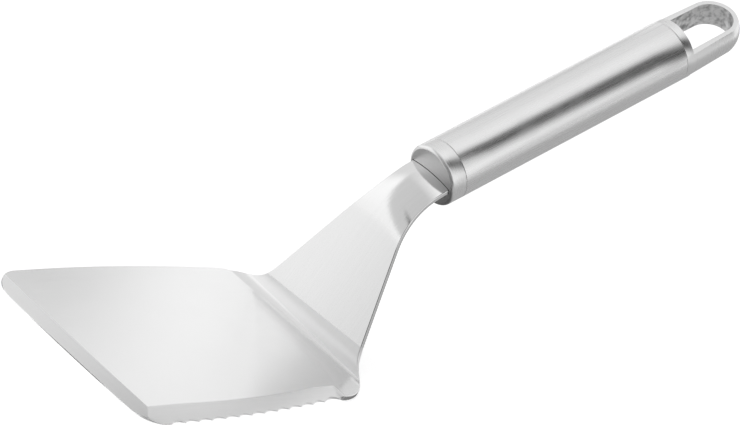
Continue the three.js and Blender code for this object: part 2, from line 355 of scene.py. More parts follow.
class NodeTree:
    """Short calls for laying out shader nodes."""

    def __init__(self, tree: bpy.types.NodeTree) -> None:
        """Keeps the tree and empties it."""
        self.tree = tree
        tree.nodes.clear()

    def add(self, kind: str, **values: object) -> bpy.types.Node:
        """Adds a node and sets its properties and input values.

        Args:
            kind: the node's type name.
            values: properties, or inputs by name with spaces written as underscores.

        Returns:
            The node.
        """
        node = self.tree.nodes.new(kind)
        for key, value in values.items():
            if hasattr(node, key):
                setattr(node, key, value)
            else:
                node.inputs[key.replace("_", " ")].default_value = value
        return node

    def link(self, source: object, target: Socket) -> None:
        """Joins an output to an input, or sets the input to a value.

        Args:
            source: the output or the value.
            target: the input.
        """
        if isinstance(source, Socket):
            self.tree.links.new(source, target)
        else:
            target.default_value = source

    def fed(self, node: bpy.types.Node, *values: object) -> bpy.types.Node:
        """Feeds a node's inputs in their order.

        Args:
            node: the node.
            values: sockets or values.

        Returns:
            The node.
        """
        for value, slot in zip(values, node.inputs):
            self.link(value, slot)
        return node

    def math(self, operation: str, *values: object) -> Socket:
        """Result of a Math node on numbers or sockets."""
        return self.fed(self.add("ShaderNodeMath", operation=operation), *values).outputs[0]

    def vector(self, operation: str, *values: object) -> bpy.types.Node:
        """Vector Math node on two vectors."""
        return self.fed(self.add("ShaderNodeVectorMath", operation=operation), *values)

    def step(self, value: object, low: object, high: object) -> Socket:
        """Smooth step of a value, from 0 at low to 1 at high."""
        ramp = self.add("ShaderNodeMapRange", interpolation_type="SMOOTHSTEP")
        return self.fed(ramp, value, low, high).outputs[0]

    def blend(self, share: object, low: object, high: object, kind: str = "MIX") -> Socket:
        """Colour between two by a share.

        Args:
            share: 0 for the first colour and 1 for the second.
            low: the first colour, a socket or a value.
            high: the second colour.
            kind: how the second is laid over the first.

        Returns:
            The colour's socket.
        """
        node = self.add("ShaderNodeMix", data_type="RGBA", blend_type=kind)
        for value, slot in ((share, 0), (low, 6), (high, 7)):
            self.link(value, node.inputs[slot])
        return node.outputs[2]

    def overlay(self, share: object, *shaders: bpy.types.Node) -> Socket:
        """Surface between two shaders by a share."""
        surfaces = [shader.outputs[0] for shader in shaders]
        return self.fed(self.add("ShaderNodeMixShader"), share, *surfaces).outputs[0]

    def noise(self, place: object, scale: object, **values: float) -> Socket:
        """Adds a noise texture.

        Args:
            place: the coordinates that it follows.
            scale: its scale, a number or a socket.
            values: its other inputs by name.

        Returns:
            The noise's socket.
        """
        node = self.add("ShaderNodeTexNoise", **values)
        self.link(place, node.inputs["Vector"])
        self.link(scale, node.inputs["Scale"])
        return node.outputs["Fac"]

    def place(self) -> Socket:
        """Coordinates in the piece's own frame."""
        return self.add("ShaderNodeTexCoord").outputs["Object"]

    def split(self, vector: Socket) -> bpy.types.Node:
        """Node with a vector's X, Y and Z as outputs."""
        return self.fed(self.add("ShaderNodeSeparateXYZ"), vector)

    def attribute(self, name: str) -> Socket:
        """Value that the mesh keeps at its points."""
        return self.add("ShaderNodeAttribute", attribute_name=name).outputs["Fac"]

    def bump(self, shader: bpy.types.Node, height: Socket, depth: float, strength: float = 1.0) -> None:
        """Tilts a shader's normal by a height.

        Args:
            shader: the shader node.
            height: the height's socket, from 0 to 1.
            depth: what a height of 1 is in metres.
            strength: how much of it shows.
        """
        node = self.add("ShaderNodeBump", Strength=strength, Distance=depth)
        self.link(height, node.inputs["Height"])
        self.link(node.outputs[0], shader.inputs["Normal"])

    def give(self, **results: Socket) -> bpy.types.NodeTree:
        """Adds a group's output node.

        Args:
            results: sockets by the names of the group's outputs.

        Returns:
            The group's tree.
        """
        out = self.add("NodeGroupOutput")
        for name, result in results.items():
            self.link(result, out.inputs[name])
        return self.tree

    def finish(self, surface: Socket, kind: str = "ShaderNodeOutputMaterial") -> None:
        """Adds the output node for a surface."""
        self.link(surface, self.add(kind).inputs["Surface"])


def grey(level: float) -> tuple[float, float, float, float]:
    """Opaque grey of a level."""
    return level, level, level, 1.0


def new_material(name: str) -> tuple[bpy.types.Material, NodeTree]:
    """Makes an empty material and opens its tree."""
    material = bpy.data.materials.new(name)
    material.use_nodes = True
    return material, NodeTree(material.node_tree)


def group(
    name: str, inputs: dict[str, object], *outputs: str
) -> tuple[NodeTree, bpy.types.bpy_prop_collection]:
    """Makes a shader group whose results are plain values.

    Args:
        name: the group's name.
        inputs: input names and defaults; a tuple makes a vector input and a number a plain one.
        outputs: names of its results.

    Returns:
        The group's tree and the sockets of its inputs.
    """
    tree = bpy.data.node_groups.new(name, "ShaderNodeTree")
    for label, value in inputs.items():
        kind = "NodeSocketVector" if isinstance(value, tuple) else "NodeSocketFloat"
        tree.interface.new_socket(label, in_out="INPUT", socket_type=kind).default_value = value
    for label in outputs:
        tree.interface.new_socket(label, in_out="OUTPUT", socket_type="NodeSocketFloat")
    nodes = NodeTree(tree)
    return nodes, nodes.add("NodeGroupInput").outputs


class SteelEffects:
    """Shader groups that the steel finishes share: brushed grain, handling marks, zones and rubbed edges."""

    def __init__(self) -> None:
        """Builds the groups once."""
        self.grain = self._grain()
        self.marks = self._marks()
        self.edges = self._edges()
        self.zones = self._zones()

    @staticmethod
    def _grain() -> bpy.types.NodeTree:
        """Fine brushed lines: a height and a mask of their lightness."""
        inputs = {
            "Place": (0.0, 0.0, 0.0),
            "Direction": (1.0, 1.0, 1.0),
            "Fineness": 9000.0,
            "Broad Share": 0.13,
            "Broad Height": 0.5,
        }
        nodes, ports = group("brushed_grain", inputs, "Height", "Mask")
        stretched = nodes.vector("MULTIPLY", ports["Place"], ports["Direction"]).outputs[0]
        fine = nodes.noise(stretched, ports["Fineness"], Detail=4.0, Roughness=0.62)
        broad_scale = nodes.math("MULTIPLY", ports["Fineness"], ports["Broad Share"])
        broad = nodes.noise(stretched, broad_scale, Detail=2.0, Roughness=0.5)
        height = nodes.math("MULTIPLY_ADD", broad, ports["Broad Height"], fine)
        return nodes.give(Height=height, Mask=nodes.step(height, 0.55, 0.95))

    @staticmethod
    def _marks() -> bpy.types.NodeTree:
        """Faint cloudy marks that handling and washing leave: a mask from 0 to 1."""
        nodes, ports = group("handling_marks", {"Size": 60.0, "Amount": 1.0}, "Mask")
        clouds = nodes.noise(nodes.place(), ports["Size"], Detail=3.0, Roughness=0.55, Distortion=0.6)
        return nodes.give(Mask=nodes.math("MULTIPLY", nodes.step(clouds, 0.42, 0.68), ports["Amount"]))

    @staticmethod
    def _zones() -> bpy.types.NodeTree:
        """Parts of the sheet that were worked otherwise: the bend, which polishing leaves, and the bevels."""
        inputs = {
            "Bend Start": 116.2 * MM,
            "Bend End": 122.5 * MM,
            "Start Skew": 0.03,
            "End Skew": -0.05,
            "Softness": 0.35 * MM,
            "Least Grinding": 0.05,
        }
        nodes, ports = group("sheet_zones", inputs, "Blade", "Bend", "Bevel")
        along, across = nodes.attribute(STATION), nodes.split(nodes.place()).outputs["Y"]
        before = nodes.math("MULTIPLY", ports["Softness"], -1.0)
        masks = []
        for end in ("Start", "End"):
            line = nodes.math("MULTIPLY_ADD", across, ports[f"{end} Skew"], ports[f"Bend {end}"])
            masks.append(nodes.step(nodes.math("SUBTRACT", along, line), before, ports["Softness"]))
        bend = nodes.math("MULTIPLY", masks[0], nodes.math("SUBTRACT", 1.0, masks[1]))
        bevel = nodes.step(nodes.attribute(GROUND), 0.0, ports["Least Grinding"])
        return nodes.give(Blade=nodes.math("SUBTRACT", 1.0, masks[0]), Bend=bend, Bevel=bevel)

    @staticmethod
    def _edges() -> bpy.types.NodeTree:
        """Edges that use has rubbed smooth: a mask from a rounded normal against the true one."""
        nodes, ports = group("rubbed_edges", {"Reach": 0.4 * MM, "Strength": 4.0}, "Mask")
        rounded = nodes.add("ShaderNodeBevel", samples=4)
        nodes.link(ports["Reach"], rounded.inputs["Radius"])
        true = nodes.add("ShaderNodeNewGeometry").outputs["Normal"]
        turn = nodes.vector("DOT_PRODUCT", rounded.outputs[0], true).outputs["Value"]
        strong = nodes.math("MULTIPLY", nodes.math("SUBTRACT", 1.0, turn), ports["Strength"])
        return nodes.give(Mask=nodes.fed(nodes.add("ShaderNodeClamp"), strong).outputs[0])


@dataclass(frozen=True)
class SteelFinish:
    """One steel surface: its colour, its roughness and the marks in it."""

    name: str
    color: Triple
    roughness: float
    brush: Brush
    turn: float = 0.0
    fineness: float = 9000.0
    grain_depth: float = 0.02
    grain_contrast: float = 0.03
    roughness_spread: float = 0.06
    marks: float = 0.5
    rubbed_shine: float = 1.04

    def _place(self, nodes: NodeTree) -> Socket:
        """Coordinates that the grain follows: the piece's own, turned so that X runs along it."""
        turn = nodes.add("ShaderNodeMapping", vector_type="TEXTURE", Rotation=(0.0, self.turn, 0.0))
        return nodes.fed(turn, nodes.place()).outputs[0]

    def _worked(
        self, nodes: NodeTree, effects: SteelEffects, rough: Socket, color: Socket
    ) -> tuple[Socket, Socket]:
        """Roughness and colour after any zones that were worked otherwise; a plain surface has none."""
        return rough, color

    def build(self, effects: SteelEffects) -> bpy.types.Material:
        """Makes the material.

        Args:
            effects: the shared shader groups.

        Returns:
            The finished material.
        """
        material, nodes = new_material(self.name)
        shader = nodes.add("ShaderNodeBsdfPrincipled", Metallic=1.0)
        grain = nodes.add("ShaderNodeGroup", node_tree=effects.grain)
        grain.inputs["Direction"].default_value = self.brush.value
        grain.inputs["Fineness"].default_value = self.fineness
        nodes.link(self._place(nodes), grain.inputs["Place"])
        marks = nodes.add("ShaderNodeGroup", node_tree=effects.marks, Amount=self.marks)
        edge = nodes.add("ShaderNodeGroup", node_tree=effects.edges).outputs["Mask"]
        dark = (*(part * (1.0 - self.grain_contrast) for part in self.color), 1.0)
        bright = (*(min(1.0, part * self.rubbed_shine) for part in self.color), 1.0)
        tint = nodes.blend(grain.outputs["Mask"], dark, (*self.color, 1.0))
        rubbed = nodes.blend(edge, tint, bright)
        rough = nodes.math("MULTIPLY_ADD", grain.outputs["Mask"], self.roughness_spread, self.roughness)
        rough = nodes.math("MULTIPLY_ADD", marks.outputs["Mask"], self.roughness_spread, rough)
        rough, color = self._worked(nodes, effects, rough, rubbed)
        nodes.link(color, shader.inputs["Base Color"])
        worn = nodes.math("MULTIPLY_ADD", edge, -self.roughness_spread, rough)
        nodes.link(worn, shader.inputs["Roughness"])
        nodes.bump(shader, grain.outputs["Height"], self.grain_depth * MM)
        nodes.finish(shader.outputs[0])
        return material


@dataclass(frozen=True)
class SheetFinish(SteelFinish):
    """The bent sheet's finish: satin blade, bend and bevels, and a brighter neck, the grain along it; the
    bend's colour is darkened as painted shade.
    """

    blade_roughness: float = 0.14
    bend_roughness: float = 0.28
    bevel_roughness: float = 0.3
    # Share of the bend's colour that is kept: painted shade on the bend, while its roughness is its own
    # finish
    bend_painted_shade: float = 0.98

    def _place(self, nodes: NodeTree) -> Socket:
        """Distance along the sheet and across it, so that the grain runs round the bends."""
        across = nodes.split(nodes.place()).outputs["Y"]
        return nodes.fed(nodes.add("ShaderNodeCombineXYZ"), nodes.attribute(STATION), across).outputs[0]

    def _worked(
        self, nodes: NodeTree, effects: SteelEffects, rough: Socket, color: Socket
    ) -> tuple[Socket, Socket]:
        """Roughness with the blade's, the bend's and the bevels' own, and the bend's colour darkened as
        painted shade.
        """
        zones = nodes.add("ShaderNodeGroup", node_tree=effects.zones).outputs
        flat = nodes.math("MULTIPLY", zones["Blade"], nodes.math("SUBTRACT", 1.0, zones["Bevel"]))
        own = (
            (flat, self.blade_roughness),
            (zones["Bend"], self.bend_roughness),
            (zones["Bevel"], self.bevel_roughness),
        )
        for zone, extra in own:
            rough = nodes.math("MULTIPLY_ADD", zone, extra, rough)
        # The bend's colour is multiplied by bend_painted_shade: painted shade where the bend looks darker
        return rough, nodes.blend(zones["Bend"], color, grey(self.bend_painted_shade), "MULTIPLY")


@dataclass(frozen=True)
class CastFinish:
    """Matt resin or adhesive: a mottled colour and small bubbles."""

    name: str
    dark: Triple
    light: Triple
    roughness: float = 0.55
    roughness_spread: float = 0.2
    mottle: float = 900.0
    bubble: float = 2600.0
    bubble_depth: float = 0.1 * MM
    bubble_strength: float = 0.4

    def build(self) -> bpy.types.Material:
        """Makes the material."""
        material, nodes = new_material(self.name)
        shader = nodes.add("ShaderNodeBsdfPrincipled")
        clouds = nodes.noise(nodes.place(), self.mottle, Detail=4.0)
        bubbles = nodes.add("ShaderNodeTexVoronoi", Scale=self.bubble)
        nodes.link(nodes.place(), bubbles.inputs["Vector"])
        nodes.link(nodes.blend(clouds, (*self.dark, 1.0), (*self.light, 1.0)), shader.inputs["Base Color"])
        rough = nodes.math("MULTIPLY_ADD", clouds, self.roughness_spread, self.roughness)
        nodes.link(rough, shader.inputs["Roughness"])
        nodes.bump(shader, bubbles.outputs["Distance"], self.bubble_depth, self.bubble_strength)
        nodes.finish(shader.outputs[0])
        return material


@dataclass
class Head:
    """The bent sheet: a blade ground at its front and on one side, a tapering neck and a hidden tang."""

    sheet: SheetLine
    taper_lead: float = 24 * MM
    heel: float = 100.5 * MM
    front_bow: float = 0.5 * MM
    front_ease: float = 0.006 * MM
    bow_half_width: float = 31.6 * MM
    front_bevel: float = 6.3 * MM
    cutting_edge: float = 0.2 * MM
    serrated_half: float = 41.6 * MM
    serrated_heel_half: float = 37.8 * MM
    serrated_corner: float = 10 * MM
    serrated_shoulder_half: float = 33.3 * MM
    first_tip: float = 11.4 * MM
    last_tip: float = 91 * MM
    scallops: int = 12
    scallop_depth: float = 0.85 * MM
    last_scallop_depth: float = 1.45 * MM
    scallop_lean: float = 0.3 * MM
    side_bevel_front: float = 8.1 * MM
    side_bevel_heel: float = 6.3 * MM
    bevel_end_inner: float = 100.6 * MM
    bevel_end_outer: float = 98.9 * MM
    bevel_end_run: float = 1.3 * MM
    plain_half: float = 41 * MM
    plain_heel_half: float = 36.45 * MM
    plain_corner: float = 12.5 * MM
    plain_shoulder_half: float = 33.8 * MM
    root_half: float = 21.9 * MM
    taper_end_half: float = 12.3 * MM
    neck_half: float = 9.15 * MM
    crown: float = 1.05 * MM
    tang_half: float = 6.5 * MM
    tang: float = 45 * MM
    shoulder_seat: float = 1.9 * MM
    edge_round: float = 0.3 * MM
    shoulder_share: float = 0.01
    root_share: float = 0.192
    taper_share: float = 0.62
    parallel_share: float = 0.9
    face_steps: int = 6
    round_steps: int = 3
    corner_steps: int = 22
    scallop_steps: int = 14
    last_steps: int = 20
    heel_steps: int = 40
    bend_steps: int = 36
    root_steps: int = 24
    neck_steps: int = 16
    upper_steps: int = 60
    bar_steps: int = 16
    seat_step: float = 0.05 * MM
    least_step: float = 0.03 * MM
    straight_turn: float = 1e-9
    spans: dict[str, Span] = field(default_factory=dict)

    def __post_init__(self) -> None:
        """Lays out the curves behind the blade, which the two sides don't share."""
        shoulder = self.sheet.blade + self.shoulder_share * self.sheet.neck
        root = self.sheet.blade + self.root_share * self.sheet.neck
        plans = {
            "serrated_heel": (self.heel, self.serrated_heel_half, shoulder, self.serrated_shoulder_half,
                              ((0.33, 1.05), (0.7, 0.79))),
            "serrated_root": (shoulder, self.serrated_shoulder_half, root, self.root_half,
                              ((0.54, 0.345), (0.19, 0.275))),
            "plain_heel": (self.heel, self.plain_heel_half, shoulder, self.plain_shoulder_half,
                           ((0.33, 0.83), (0.8, 0.74))),
            "plain_root": (shoulder, self.plain_shoulder_half, root, self.root_half,
                           ((0.41, 0.73), (0.21, 0.26))),
        }
        for name, (x0, y0, x1, y1, shares) in plans.items():
            self.spans[name] = Span((x0, y0), (x1, y1), shares)

    def _tapered(self, station: float, widest: float, narrowest: float, end: float) -> float:
        """Half-width of a blade side that is straight, then drawn in along a parabola."""
        share = max(0.0, (min(station, end) - self.taper_lead) / (end - self.taper_lead))
        return widest - (widest - narrowest) * share * share

    def _side_line(self, station: float) -> float:
        """Half-width of the serrated side at its tips."""
        return self._tapered(station, self.serrated_half, self.serrated_heel_half, self.last_tip)

    def _valley(self, station: float) -> float:
        """How deep into a scallop a station lies, from 0 at a tip to 1 at the valley."""
        if not self.first_tip < station < self.heel:
            return 0.0
        if station > self.last_tip:
            share = (station - self.last_tip) / (self.heel - self.last_tip)
        else:
            pitch = (self.last_tip - self.first_tip) / self.scallops
            share = ((station - self.first_tip) / pitch) % 1.0
        return 4.0 * share * (1.0 - share)

    def _corner(self, station: float, half: float, corner: float) -> float:
        """Half-width where a front corner's arc begins to close the side."""
        inset = corner - min(station, corner)
        return half - corner + math.sqrt(max(0.0, corner * corner - inset * inset))

    def _behind(self, station: float, side: str) -> float:
        """Half-width behind the heel station, on either side."""
        neck = (station - self.sheet.blade) / self.sheet.neck
        if neck < self.shoulder_share:
            return self.spans[f"{side}_heel"].at(station)
        if neck < self.root_share:
            return self.spans[f"{side}_root"].at(station)
        if neck < self.taper_share:
            share = (neck - self.root_share) / (self.taper_share - self.root_share)
            return mix(self.root_half, self.taper_end_half, share)
        if neck < self.parallel_share:
            slope = (self.taper_end_half - self.root_half) / (self.taper_share - self.root_share)
            meeting = self.taper_share + (self.neck_half - self.taper_end_half) / slope
            return self._settle(neck, meeting)
        if station < self.sheet.length + self.shoulder_seat:
            return self.neck_half
        return self.tang_half

    def _settle(self, neck: float, meeting: float) -> float:
        """Half-width where the taper eases into the parallel neck, along a parabola."""
        first, last = self.taper_share, self.parallel_share
        a = first - 2 * meeting + last
        b = 2 * (meeting - first)
        if abs(a) > self.straight_turn:
            turn = (-b + math.sqrt(b * b - 4 * a * (first - neck))) / (2 * a)
        else:
            turn = (neck - first) / b
        rest = 1.0 - turn
        return rest * rest * self.taper_end_half + (1.0 - rest * rest) * self.neck_half

    def edge(self, station: float, serrated: bool) -> float:
        """Half-width of the sheet's underside at a station.

        Args:
            station: distance along the sheet.
            serrated: whether the serrated side is meant.

        Returns:
            The half-width.
        """
        if station >= self.heel:
            return self._behind(station, "serrated" if serrated else "plain")
        if not serrated:
            if station < self.plain_corner:
                return self._corner(station, self.plain_half, self.plain_corner)
            return self._tapered(station, self.plain_half, self.plain_heel_half, self.heel)
        if station < self.serrated_corner:
            return self._corner(station, self.serrated_half, self.serrated_corner)
        depth = self.last_scallop_depth if station > self.last_tip else self.scallop_depth
        return self._side_line(station) - depth * self._valley(station)

    def _side_bevel(self, station: float) -> float:
        """Width of the ground bevel on the serrated side."""
        along = min(1.0, max(0.0, (station - self.taper_lead) / (self.heel - self.taper_lead)))
        return mix(self.side_bevel_front, self.side_bevel_heel, along * (2.0 - along))

    def ground(self, station: float, reach: float, serrated: bool) -> float:
        """How far grinding has lowered the upper face.

        Args:
            station: distance along the sheet.
            reach: distance from the centre line.
            serrated: whether the serrated side is meant.

        Returns:
            The drop below the upper face.
        """
        full = self.sheet.thickness - self.cutting_edge
        front = max(0.0, 1.0 - station / self.front_bevel) * full
        if not serrated or station > self.heel + self.bevel_end_run:
            return front
        width = self._side_bevel(station)
        share = min(1.0, max(0.0, 1.0 - (self._side_line(station) - reach) / width))
        end = mix(self.bevel_end_inner, self.bevel_end_outer, share)
        side = share * full * (1.0 - smooth(end, end + self.bevel_end_run, station))
        return max(front, side)

    def _crease(self, station: float, edge: float, serrated: bool) -> float:
        """Half-width at which the upper face meets the grinding, mitred at the front corner."""
        inner = edge - 2 * self.edge_round
        if not serrated or station > self.heel + 2 * self.bevel_end_run:
            return inner
        width = self._side_bevel(station)
        mitre = max(0.0, 1.0 - station / self.front_bevel) * width
        past = smooth(self.heel + self.bevel_end_run, self.heel + 2 * self.bevel_end_run, station)
        return min(mix(self._side_line(station) - width + mitre, inner, past), inner)

    def _side_points(self, station: float, serrated: bool) -> list[Pair]:
        """(reach, offset) points of one side's section, from the top's middle to the underside's."""
        edge = self.edge(station, serrated)
        depth = -self.sheet.thickness
        lean = self.scallop_lean * self._valley(station) if serrated else 0.0
        top_edge = edge - lean
        crease = self._crease(station, top_edge, serrated)
        top = -self.ground(station, top_edge, serrated)
        radius = min(self.edge_round, (top - depth) / 3)
        points = [(crease * i / self.face_steps, 0.0) for i in range(self.face_steps + 1)]
        points = [(reach, -self.ground(station, reach, serrated)) for reach, _ in points]
        middle = (crease + top_edge - radius) / 2
        points.append((middle, -self.ground(station, middle, serrated)))
        for i in range(self.round_steps + 1):
            turn = math.pi / 2 * i / self.round_steps
            level = min(top, -self.ground(station, top_edge - radius, serrated))
            points.append((top_edge - radius * (1 - math.sin(turn)), level - radius * (1 - math.cos(turn))))
        low = min(radius, self.edge_round / 2)
        for i in range(self.round_steps + 1):
            turn = math.pi / 2 * i / self.round_steps
            points.append((edge - low * (1 - math.cos(turn)), depth + low * (1 - math.sin(turn))))
        points += [((edge - low) * (1 - i / self.face_steps), depth) for i in range(1, self.face_steps)]
        return points

    def _raised(self, station: float, reach: float) -> float:
        """Height that the neck's arch gives a point."""
        start = self.sheet.blade + self.taper_share * self.sheet.neck
        end = self.sheet.blade + self.parallel_share * self.sheet.neck
        share = reach / max(self.neck_half, self.edge(station, True))
        return self.crown * smooth(start, end, station) * (1.0 - share * share)

    def section(self, station: float) -> list[Vector]:
        """Closed ring of points round the sheet at a station.

        Args:
            station: distance along the sheet.

        Returns:
            The ring's points, in the part's frame.
        """
        plain = self._side_points(station, serrated=False)
        serrated = self._side_points(station, serrated=True)
        ring = plain + [(0.0, -self.sheet.thickness)]
        ring += [(-reach, offset) for reach, offset in reversed(serrated[1:])]
        x, z, slope = self.sheet.at(station)
        points = []
        for y, offset in ring:
            lifted = offset + self._raised(station, abs(y))
            bow_share = min(1.0, abs(y) / self.bow_half_width)
            bow = self.front_bow * bow_share**2 * max(0.0, 1.0 - station / self.taper_lead)
            points.append(Vector((x + bow - lifted * math.sin(slope), y, z + lifted * math.cos(slope))))
        return points

    def stations(self) -> list[float]:
        """Distances along the sheet at which its sections lie."""
        found = {self.front_ease, self.front_bevel}
        for corner in (self.serrated_corner, self.plain_corner):
            turns = (math.pi / 2 * i / self.corner_steps for i in range(1, self.corner_steps + 1))
            found |= {corner * (1 - math.cos(turn)) for turn in turns}
        pitch = (self.last_tip - self.first_tip) / self.scallops
        rows = range(self.scallops * self.scallop_steps + 1)
        found |= {self.first_tip + pitch * i / self.scallop_steps for i in rows}
        blade, lower, length = self.sheet.blade, self.sheet.lower, self.sheet.length
        found |= {blade + lower * i / self.bend_steps for i in range(self.bend_steps + 1)}
        root = blade + self.root_share * self.sheet.neck
        upper = length - self.sheet.upper
        runs = (
            (self.last_tip, self.heel, self.last_steps),
            (self.heel, blade, self.heel_steps),
            (blade + lower, root, self.root_steps),
            (root, upper, self.neck_steps),
            (upper, length, self.upper_steps),
        )
        for start, end, steps in runs:
            found |= {mix(start, end, i / steps) for i in range(steps + 1)}
        seat = length + self.shoulder_seat
        found |= {seat - self.seat_step, seat + self.seat_step, length + self.tang}
        ordered = sorted(found)
        kept = [ordered[0]]
        for station in ordered[1:]:
            if station - kept[-1] > self.least_step:
                kept.append(station)
        return kept

    def build(self) -> Piece:
        """Rolls a grid round the sections, welds its seam and closes its ends."""
        stations = self.stations()
        rings = [self.section(station) for station in stations]
        rows, columns = len(rings) - 1, len(rings[0])
        bm = bmesh.new()
        along = bm.verts.layers.float.new(STATION)
        ground = bm.verts.layers.float.new(GROUND)
        bmesh.ops.create_grid(bm, x_segments=rows, y_segments=columns, size=0.5)
        for vert in bm.verts:
            row = round((vert.co.x + 0.5) * rows)
            column = round((vert.co.y + 0.5) * columns)
            vert.co = rings[row][column % columns]
            vert[along] = stations[row]
            vert[ground] = self.ground(stations[row], abs(vert.co.y), vert.co.y < 0) / self.sheet.thickness
        bmesh.ops.remove_doubles(bm, verts=bm.verts, dist=WELD)
        bmesh.ops.holes_fill(bm, edges=[e for e in bm.edges if e.is_boundary], sides=0)
        return finish_mesh(bm, "bent_head", HEAD_CRISP)

    def bar(self, name: str, half: float, clearance: float, start: float, end: float) -> Piece:
        """Straight bar with the neck's arched section, along +X on the handle's own axis.

        Args:
            name: the object's name.
            half: half-width of the section.
            clearance: how much the section grows all round.
            start: where the bar starts along the axis.
            end: where it ends.

        Returns:
            The bar.
        """
        steps = self.bar_steps
        face_drop = HandleLine(self.sheet).face_drop
        wide = half + clearance
        bm = bmesh.new()
        top, bottom = [], []
        for i in range(steps + 1):
            y = mix(-wide, wide, i / steps)
            rise = self.crown * (1.0 - (y / self.neck_half) ** 2) + face_drop
            top.append(bm.verts.new((start, y, rise + clearance)))
            bottom.append(bm.verts.new((start, y, rise - self.sheet.thickness - clearance)))
        face = bm.faces.new(top + bottom[::-1])
        grown = bmesh.ops.extrude_face_region(bm, geom=[face])
        moved = [v for v in grown["geom"] if isinstance(v, bmesh.types.BMVert)]
        bmesh.ops.translate(bm, verts=moved, vec=(end - start, 0.0, 0.0))
        return finish_mesh(bm, name, CRISP)


